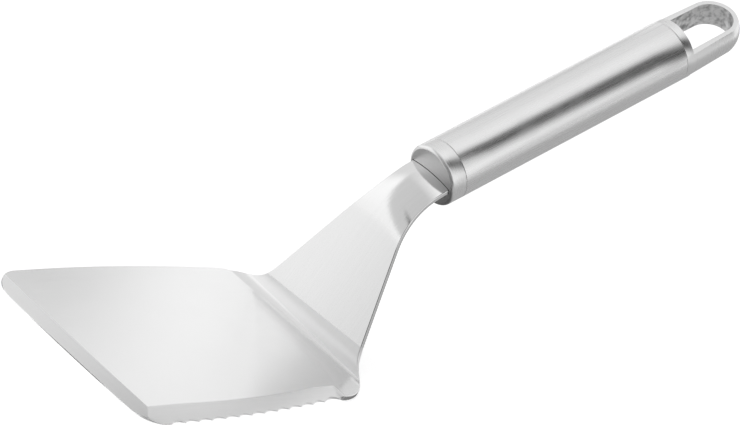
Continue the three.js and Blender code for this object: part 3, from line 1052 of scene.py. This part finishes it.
@dataclass
class Handle:
    """Front ferrule, tube and loop cap, built along +X and laid on the handle's line."""

    line: HandleLine
    head: Head
    ferrule: float = 6.37 * MM
    ferrule_round: float = 1.2 * MM
    between_seams: float = 101.4 * MM
    seam: float = 0.12 * MM
    seam_chamfer: float = 0.1 * MM
    wall: float = 1 * MM
    spigot: float = 8 * MM
    spigot_radius: float = 8.8 * MM
    sleeve_wall: float = 1.2 * MM
    seat: float = 2.5 * MM
    clearance: float = 0.2 * MM
    ring: float = 3.2 * MM
    loop_straight: float = 17.9 * MM
    loop_half: float = 4.65 * MM
    loop_end: float = 10.25 * MM
    slot_half: float = 7.77 * MM
    slot_end: float = 7.5 * MM
    loop_round: float = 0.6 * MM
    overrun: float = 2 * MM
    steps: int = 160
    rim_steps: int = 10
    chamfer_steps: int = 4
    dome_steps: int = 28
    slot_steps: int = 48
    round_steps: int = 5
    tube_rows: int = 8
    loop_rows: int = 6
    edge_turn: float = math.radians(40)
    face_depth: float = 0.01 * MM
    face_tilt: float = 0.99
    wall_start: float = 0.1 * MM
    wall_reach: float = 0.2 * MM
    wall_tilt: float = 0.3

    @property
    def rear_seam(self) -> float:
        """Distance from the handle's face to its rear seam."""
        return self.ferrule + self.between_seams

    @property
    def loop_start(self) -> float:
        """Distance from the face to the flat behind the cap's ring."""
        return self.rear_seam + self.ring

    @property
    def loop_centre(self) -> float:
        """Distance from the face to the centre of the loop's round end."""
        return self.loop_start + self.loop_straight

    def _lay(self, piece: Piece) -> Piece:
        """Puts a finished piece on the handle's line, with its place in its mesh."""
        piece.data.transform(self.line.matrix())
        piece.data.update()
        return piece

    def front_ferrule(self) -> Piece:
        """Turned plug with a rounded rim, cut for the neck and the tang."""
        radius, end = self.line.radius, self.ferrule - self.seam / 2
        far = end + self.spigot
        profile = [(0.0, 0.0), (0.0, (radius - self.ferrule_round) / 2)]
        rounding, chamfer = self.ferrule_round, self.seam_chamfer
        profile += arc((rounding, radius - rounding), rounding, 180, 90, self.rim_steps)
        profile += arc((end - chamfer, radius - chamfer), chamfer, 90, 0, self.chamfer_steps)
        profile += [(end, self.spigot_radius), (far, self.spigot_radius), (far, 0.0)]
        piece = finish_mesh(turned(profile, self.steps), "turned_ferrule", TURNED_CRISP)
        seat = self.head.bar("seat", self.head.neck_half, self.clearance, -self.overrun, self.seat)
        cut(piece, seat, "DIFFERENCE")
        slot = self.head.bar("slot", self.head.tang_half, self.clearance, -self.overrun, far + self.overrun)
        cut(piece, slot, "DIFFERENCE")
        piece.data.shade_smooth()
        piece.data.set_sharp_from_angle(angle=TURNED_CRISP)
        mark(piece, lambda centre, normal: centre.x < self.face_depth and normal.x < -self.face_tilt)
        return self._lay(piece)

    def tube(self) -> Piece:
        """Thin tube with both rims broken."""
        radius, bore = self.line.radius, self.line.radius - self.wall
        start, end = self.ferrule + self.seam / 2, self.rear_seam - self.seam / 2
        chamfer = self.seam_chamfer
        profile = [(start, bore)]
        profile += arc((start + chamfer, radius - chamfer), chamfer, 180, 90, self.chamfer_steps)
        profile += [(mix(start, end, i / self.tube_rows), radius) for i in range(1, self.tube_rows)]
        profile += arc((end - chamfer, radius - chamfer), chamfer, 90, 0, self.chamfer_steps)
        profile += [(end, bore), (start, bore)]
        return self._lay(finish_mesh(turned(profile, self.steps), "satin_tube", math.radians(25)))

    def _loop_bar(self) -> Piece:
        """Tapering bar with a domed end, milled flat above and below."""
        root = self.loop_start - self.ring / 2
        radius = self.line.radius
        profile = [(root, 0.0), (root, radius), (self.loop_start, radius)]
        for share in (i / self.loop_rows for i in range(1, self.loop_rows)):
            profile.append((mix(self.loop_start, self.loop_centre, share), mix(radius, self.loop_end, share)))
        dome = arc((self.loop_centre, 0.0), self.loop_end, 90, 0, self.dome_steps)
        profile += dome[:-1] + [(self.loop_centre + self.loop_end, 0.0)]
        bm = turned(profile, self.steps)
        for side in (1.0, -1.0):
            halves = bmesh.ops.bisect_plane(
                bm,
                geom=bm.verts[:] + bm.edges[:] + bm.faces[:],
                plane_co=(0.0, 0.0, side * self.loop_half),
                plane_no=(0.0, 0.0, side),
                clear_outer=True,
            )
            rim = [e for e in halves["geom_cut"] if isinstance(e, bmesh.types.BMEdge)]
            bmesh.ops.holes_fill(bm, edges=rim, sides=0)
        return finish_mesh(bm, "milled_loop", TURNED_CRISP)

    def _slot_tool(self) -> Piece:
        """Tapering slot with a round end, as a solid that cuts the loop."""
        root = self.loop_start - self.ring
        points = [(root, -self.slot_half), (self.loop_start, -self.slot_half)]
        points += arc((self.loop_centre, 0.0), self.slot_end, -90, 90, self.slot_steps)
        points += [(self.loop_start, self.slot_half), (root, self.slot_half)]
        bm = bmesh.new()
        face = bm.faces.new([bm.verts.new((x, y, -2 * self.loop_half)) for x, y in points])
        grown = bmesh.ops.extrude_face_region(bm, geom=[face])
        moved = [v for v in grown["geom"] if isinstance(v, bmesh.types.BMVert)]
        bmesh.ops.translate(bm, verts=moved, vec=(0.0, 0.0, 4 * self.loop_half))
        return finish_mesh(bm, "slot_tool", CRISP)

    def loop_cap(self) -> Piece:
        """Turned ring and sleeve with the milled loop, rounded along the loop's edges."""
        loop = self._loop_bar()
        cut(loop, self._slot_tool(), "DIFFERENCE")
        round_edges(loop, self.edge_turn, self.loop_round, self.round_steps, CRISP)
        start = self.rear_seam + self.seam / 2
        inner = self.spigot_radius - self.sleeve_wall
        radius, chamfer = self.line.radius, self.seam_chamfer
        profile = [(start, 0.0), (start, inner), (start - self.spigot, inner)]
        profile += [(start - self.spigot, self.spigot_radius), (start, self.spigot_radius)]
        profile += arc((start + chamfer, radius - chamfer), chamfer, 180, 90, self.chamfer_steps)
        profile += [(self.loop_start, radius), (self.loop_start, 0.0)]
        ring = finish_mesh(turned(profile, self.steps), "cap_ring", TURNED_CRISP)
        cut(ring, loop, "UNION")
        ring.name = "milled_loop_cap"
        ring.data.name = "milled_loop_cap"
        ring.data.shade_smooth()
        ring.data.set_sharp_from_angle(angle=TURNED_CRISP)
        mark(ring, self._slot_wall)
        return self._lay(ring)

    def _slot_wall(self, centre: Vector, normal: Vector) -> bool:
        """Whether a face belongs to the milled wall of the hanging slot."""
        across = math.hypot(max(0.0, centre.x - self.loop_centre), centre.y)
        inside = across < self.slot_half + self.wall_reach and centre.x > self.loop_start - self.wall_start
        return inside and abs(normal.z) < self.wall_tilt


def level_ramp(
    nodes: NodeTree, value: Socket, stops: tuple[Pair, ...]
) -> Socket:
    """Level that runs straight between stops.

    Args:
        nodes: the tree that takes the nodes.
        value: what the stops are read against.
        stops: (value, level) pairs in order.

    Returns:
        The level's socket.
    """
    first, last = stops[0][0], stops[-1][0]
    reach = max(last - first, MM)
    peak = max(level for _, level in stops)
    ramp = nodes.add("ShaderNodeValToRGB")
    elements = ramp.color_ramp.elements
    while len(elements) < len(stops):
        elements.new(0.5)
    while len(elements) > len(stops):
        elements.remove(elements[-1])
    for element, (at, level) in zip(elements, stops):
        element.position = (at - first) / reach
        element.color = grey(level / peak)
    share = nodes.math("DIVIDE", nodes.math("SUBTRACT", value, first), reach)
    nodes.link(share, ramp.inputs[0])
    return nodes.math("MULTIPLY", ramp.outputs[0], peak)


@dataclass(frozen=True)
class Card:
    """Card that only reflections see, its level given by (place, level) stops along its own X axis."""

    name: str
    centre: Triple
    along: Triple
    facing: Triple
    size: Pair
    levels: tuple[Pair, ...]
    rims: tuple[float, float, float, float] = (0.05, 0.05, 0.05, 0.05)

    def build(self) -> Piece:
        """Makes the card, soft towards its rims."""
        bm = bmesh.new()
        bmesh.ops.create_grid(bm, x_segments=1, y_segments=1, size=0.5)
        bmesh.ops.scale(bm, vec=(*self.size, 1.0), verts=bm.verts)
        facing = Vector(self.facing).normalized()
        along = Vector(self.along)
        along = (along - facing * along.dot(facing)).normalized()
        turn = Matrix((along, facing.cross(along), facing)).transposed().to_4x4()
        card = finish_mesh(bm, self.name, CRISP)
        card.matrix_world = Matrix.Translation(Vector(self.centre)) @ turn
        card.data.materials.append(self._material())
        card.visible_camera = False
        card.visible_diffuse = False
        card.visible_shadow = False
        card.visible_transmission = False
        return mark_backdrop(card)

    def _material(self) -> bpy.types.Material:
        """Plain glow with the card's levels, clear past its rims."""
        material, nodes = new_material(self.name)
        place = nodes.split(nodes.place()).outputs
        glow = nodes.add("ShaderNodeEmission")
        nodes.link(level_ramp(nodes, place["X"], self.levels), glow.inputs["Strength"])
        share = 1.0
        edges = ((-1, "X"), (1, "X"), (-1, "Y"), (1, "Y"))
        for (side, axis), rim in zip(edges, self.rims):
            edge = side * self.size["XY".index(axis)] / 2
            share = nodes.math("MULTIPLY", share, nodes.step(place[axis], edge, edge - side * rim))
        nodes.finish(nodes.overlay(share, nodes.add("ShaderNodeBsdfTransparent"), glow))
        return material


@dataclass(frozen=True)
class Patch:
    """Round part of the tent with a level of its own, full inside one angle and gone at another."""

    direction: Triple
    inner: float
    outer: float
    level: float

    def over(
        self, nodes: NodeTree, way: Socket, light: Socket
    ) -> Socket:
        """Lays the patch over the tent's level.

        Args:
            nodes: the world's tree.
            way: the direction that is looked in.
            light: the tent's level so far.

        Returns:
            The level's socket with the patch.
        """
        near = nodes.vector("DOT_PRODUCT", way, Vector(self.direction).normalized()).outputs["Value"]
        low, high = (math.cos(math.radians(angle)) for angle in (self.outer, self.inner))
        return nodes.blend(nodes.step(near, low, high), light, grey(self.level))


@dataclass
class Studio:
    """White floor, even tent of light, a few cards for the steel to mirror, and the camera."""

    floor_size: float = 8.0
    floor_drop: float = 0.05 * MM
    floor_white: float = 0.9
    floor_lift: float = 0.42
    far_clip: float = 100.0
    camera_place: Triple = (-1.344887, -0.919211, 0.740300)
    camera_right: Triple = (0.631416, -0.649834, 0.423120)
    camera_up: Triple = (0.033483, 0.567987, 0.822356)
    focal_pixels: float = 5500.0
    image_width: float = 740.0
    sensor: float = 36.0
    tent_levels: tuple[Pair, ...] = (
        (0.0, 1.0), (0.38, 0.98), (0.5, 0.88), (0.64, 0.77), (0.85, 0.79), (1.0, 0.95),
    )
    patches: tuple[Patch, ...] = (
        Patch((0.45, 0.88, 0.14), 14.0, 34.0, 0.7),
        Patch((-0.525, 0.505, 0.686), 12.0, 32.0, 1.06),
        Patch((0.66, -0.75, -0.1), 8.0, 27.0, 0.6),
        Patch((-0.87, -0.38, 0.18), 12.0, 54.0, 0.0),
        Patch((-0.6, -0.75, -0.1), 10.0, 42.0, 0.1),
    )

    def build(self) -> None:
        """Sets up everything round the object."""
        scene = bpy.context.scene
        scene.view_settings.view_transform = "Standard"
        self._camera()
        self._floor()
        self._tent()
        for card in self._cards():
            card.build()

    def _camera(self) -> None:
        """Camera at the photograph's own place and turn."""
        data = bpy.data.cameras.new("camera")
        data.sensor_width = self.sensor
        data.lens = self.focal_pixels * self.sensor / self.image_width
        data.clip_end = self.far_clip
        camera = bpy.data.objects.new("camera", data)
        right, up = Vector(self.camera_right).normalized(), Vector(self.camera_up).normalized()
        back = right.cross(up)
        turn = Matrix((right, up, back)).transposed().to_4x4()
        camera.matrix_world = Matrix.Translation(Vector(self.camera_place)) @ turn
        bpy.context.scene.collection.objects.link(camera)
        bpy.context.scene.camera = camera

    def _floor(self) -> None:
        """Floor that shows white, with the object's soft shadow."""
        bm = bmesh.new()
        bmesh.ops.create_grid(bm, x_segments=1, y_segments=1, size=self.floor_size / 2)
        bmesh.ops.translate(bm, verts=bm.verts, vec=(0.0, 0.0, -self.floor_drop))
        floor = finish_mesh(bm, "floor", CRISP)
        material, nodes = new_material("white_floor")
        paint = nodes.add("ShaderNodeBsdfDiffuse", Color=grey(self.floor_white))
        lift = nodes.add("ShaderNodeEmission", Color=grey(1.0))
        rays = nodes.add("ShaderNodeLightPath").outputs
        seen = nodes.math("MAXIMUM", rays["Is Camera Ray"], rays["Is Glossy Ray"])
        seen = nodes.math("MAXIMUM", seen, rays["Is Transmission Ray"])
        nodes.link(nodes.math("MULTIPLY", seen, self.floor_lift), lift.inputs["Strength"])
        both = nodes.fed(nodes.add("ShaderNodeAddShader"), paint.outputs[0], lift.outputs[0])
        nodes.finish(both.outputs[0])
        floor.data.materials.append(material)

    def _tent(self) -> None:
        """World: white where it is looked at, and a tent with a dark side for the steel to mirror."""
        world = bpy.data.worlds.new("tent")
        bpy.context.scene.world = world
        world.use_nodes = True
        nodes = NodeTree(world.node_tree)
        way = nodes.add("ShaderNodeTexCoord").outputs["Generated"]
        light = level_ramp(nodes, nodes.split(way).outputs["Z"], self.tent_levels)
        for patch in self.patches:
            light = patch.over(nodes, way, light)
        tent = nodes.add("ShaderNodeBackground")
        nodes.link(light, tent.inputs["Color"])
        white = nodes.add("ShaderNodeBackground", Color=grey(1.0))
        rays = nodes.add("ShaderNodeLightPath").outputs
        seen = nodes.math("MAXIMUM", rays["Is Camera Ray"], rays["Is Transmission Ray"])
        nodes.finish(nodes.overlay(seen, tent, white), "ShaderNodeOutputWorld")

    @staticmethod
    def _cards() -> list[Card]:
        """Cards close to the object: the gap between lights, what hangs over the blade, and the table, and
        two dark floor sheets that are painted shadow under the blade and the neck.
        """
        gap = Vector((0.23, -0.62, 0.74)).normalized() * 0.3 + Vector((0.149, 0.018, 0.102))
        up, down = (0.0, 0.0, 1.0), (0.0, 0.0, -1.0)
        return [
            Card("gap_card", tuple(gap), (-0.409, -0.76, -0.505), (-0.23, 0.62, -0.74), (0.22, 0.6),
                 ((0.0, 0.02),), rims=(0.085, 0.08, 0.12, 0.12)),
            Card("over_card", (-0.06, -0.004, 0.11), (-0.236, -0.972, 0.0), down, (0.17, 0.27),
                 ((-0.085, 0.66), (-0.03, 0.6), (0.03, 0.3), (0.085, 0.05)), rims=(0.006, 0.04, 0.02, 0.05)),
            Card("fore_card", (-0.03, -0.005, 0.108), (0.0, -1.0, 0.0), down, (0.08, 0.09), ((0.0, 0.06),),
                 rims=(0.016, 0.01, 0.016, 0.01)),
            Card("blade_card", (0.42, 0.262, 0.2), (0.65, -0.76, 0.0), down, (0.24, 0.26),
                 ((-0.1, 0.5), (-0.07, 0.68), (-0.058, 0.86), (-0.045, 1.02), (-0.03, 1.1), (-0.015, 1.08),
                  (0.0, 0.98), (0.01, 0.9), (0.02, 0.86), (0.045, 0.6)),
                 rims=(0.01, 0.05, 0.04, 0.04)),
            Card("neck_card", (-0.12, 0.09, 0.04), (0.0, 1.0, 0.0), (1.0, 0.0, 0.0), (0.18, 0.12),
                 ((-0.055, 0.5), (-0.01, 0.77), (0.03, 0.93)), rims=(0.02, 0.02, 0.01, 0.03)),
            Card("table_card", (0.88, -0.9, -0.02 * MM), (0.0, -1.0, 0.0), up, (2.6, 1.64),
                 ((-0.6, 0.44), (-0.1, 0.55), (0.5, 0.62)), rims=(0.1, 0.3, 0.005, 0.1)),
            Card("front_card", (-0.358, -0.345, -0.02 * MM), (1.0, 0.0, 0.0), up, (0.6, 0.91), ((0.0, 0.15),),
                 rims=(0.2, 0.002, 0.2, 0.08)),
            Card("near_card", (0.0, -0.36, -0.02 * MM), (1.0, 0.0, 0.0), up, (0.12, 0.6), ((0.0, 0.12),),
                 rims=(0.001, 0.02, 0.2, 0.003)),
            Card("far_card", (0.02, 0.17, -0.02 * MM), (1.0, 0.0, 0.0), up, (0.4, 0.22), ((0.0, 0.8),),
                 rims=(0.1, 0.04, 0.02, 0.1)),
            # Grey sheet on the floor under the blade: painted contact shadow that only reflections see
            Card("contact_shadow_card", (0.0075, 0.0, -0.03 * MM), (1.0, 0.0, 0.0), up, (0.125, 0.125), ((0.0, 0.38),),
                 rims=(0.0005, 0.004, 0.004, 0.004)),
            # Dark sheet on the floor under the neck, darkest under it and on the near side, lighter towards
            # +Y: painted shadow of the neck that only reflections see
            Card("neck_shadow_card", (0.075, 0.0, -0.01 * MM), (0.0, 1.0, 0.0), up, (0.12, 0.16),
                 ((0.015, 0.08), (0.05, 0.4)), rims=(0.04, 0.02, 0.04, 0.06)),
        ]


def dress(piece: Piece, *materials: bpy.types.Material) -> None:
    """Gives a piece its materials, and keeps which face has which."""
    indices = [polygon.material_index for polygon in piece.data.polygons]
    piece.data.materials.clear()
    for material in materials:
        piece.data.materials.append(material)
    for polygon, index in zip(piece.data.polygons, indices):
        polygon.material_index = min(index, len(materials) - 1)


def place(piece: Piece, node: str, slot: Slot, *materials: bpy.types.Material) -> None:
    """Hands a new piece over: its finish, the body it rides on and the CAD node it stands for.

    Args:
        piece: the finished object.
        node: the CAD node that it replaces.
        slot: the record's material slot; not used.
        materials: the finishes, first the one that most faces have.
    """
    dress(piece, *materials)
    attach(piece, BODY)
    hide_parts(node)
    LOG.info("%s stands for %s: %d faces", piece.name, node, len(piece.data.polygons))


def main() -> None:
    """Builds the studio, then each piece in order, with its finish."""
    Studio().build()
    sheet = SheetLine()
    head = Head(sheet)
    handle = Handle(HandleLine(sheet), head)
    effects = SteelEffects()
    slope = sheet.handle_angle
    bright, steel, faced_painted_shade, pale = (0.9,) * 3, (0.88,) * 3, (0.6,) * 3, (1.0,) * 3
    along, round_axis, even = Brush.LENGTHWISE, Brush.ROUND, Brush.EVEN
    satin = SheetFinish("satin_sheet", bright, 0.06, along, grain_depth=0.006, roughness_spread=0.02)
    brushed = SteelFinish("brushed_tube", steel, 0.24, along, turn=-slope, grain_depth=0.003)
    fitting = SteelFinish("turned_fitting", steel, 0.25, round_axis, turn=-slope, grain_depth=0.002)
    # The faced end's colour, 0.6 against the other steel's 0.88, is painted shade where the face looks dark;
    # its higher roughness of 0.3 is its own
    faced = SteelFinish("faced_end", faced_painted_shade, 0.3, even, turn=-slope)
    milled = SteelFinish("milled_slot", pale, 0.4, even, fineness=480.0, grain_depth=0.14,
                         grain_contrast=0.65)
    finishes = (satin, brushed, fitting, faced, milled)
    satin, brushed, fitting, faced, milled = (finish.build(effects) for finish in finishes)
    place(head.build(), "server_head", Slot.BLADE, satin)
    place(handle.front_ferrule(), "front_ferrule", Slot.FITTING, fitting, faced)
    place(handle.tube(), "handle_tube", Slot.TUBE, brushed)
    place(handle.loop_cap(), "loop_cap", Slot.FITTING, fitting, milled)
    resin = CastFinish("cast_resin", (0.07, 0.065, 0.06), (0.12, 0.11, 0.1)).build()
    adhesive = CastFinish("cured_adhesive", (0.24, 0.22, 0.18), (0.34, 0.32, 0.27)).build()
    dress(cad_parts["tang_potting"], resin)
    for name in ("front_bond_ring", "rear_bond_ring"):
        dress(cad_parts[name], adhesive)
    for name in ("tang_potting", "front_bond_ring", "rear_bond_ring"):
        LOG.info("%s keeps its CAD shape", name)


if __name__ == "__main__":
    main()
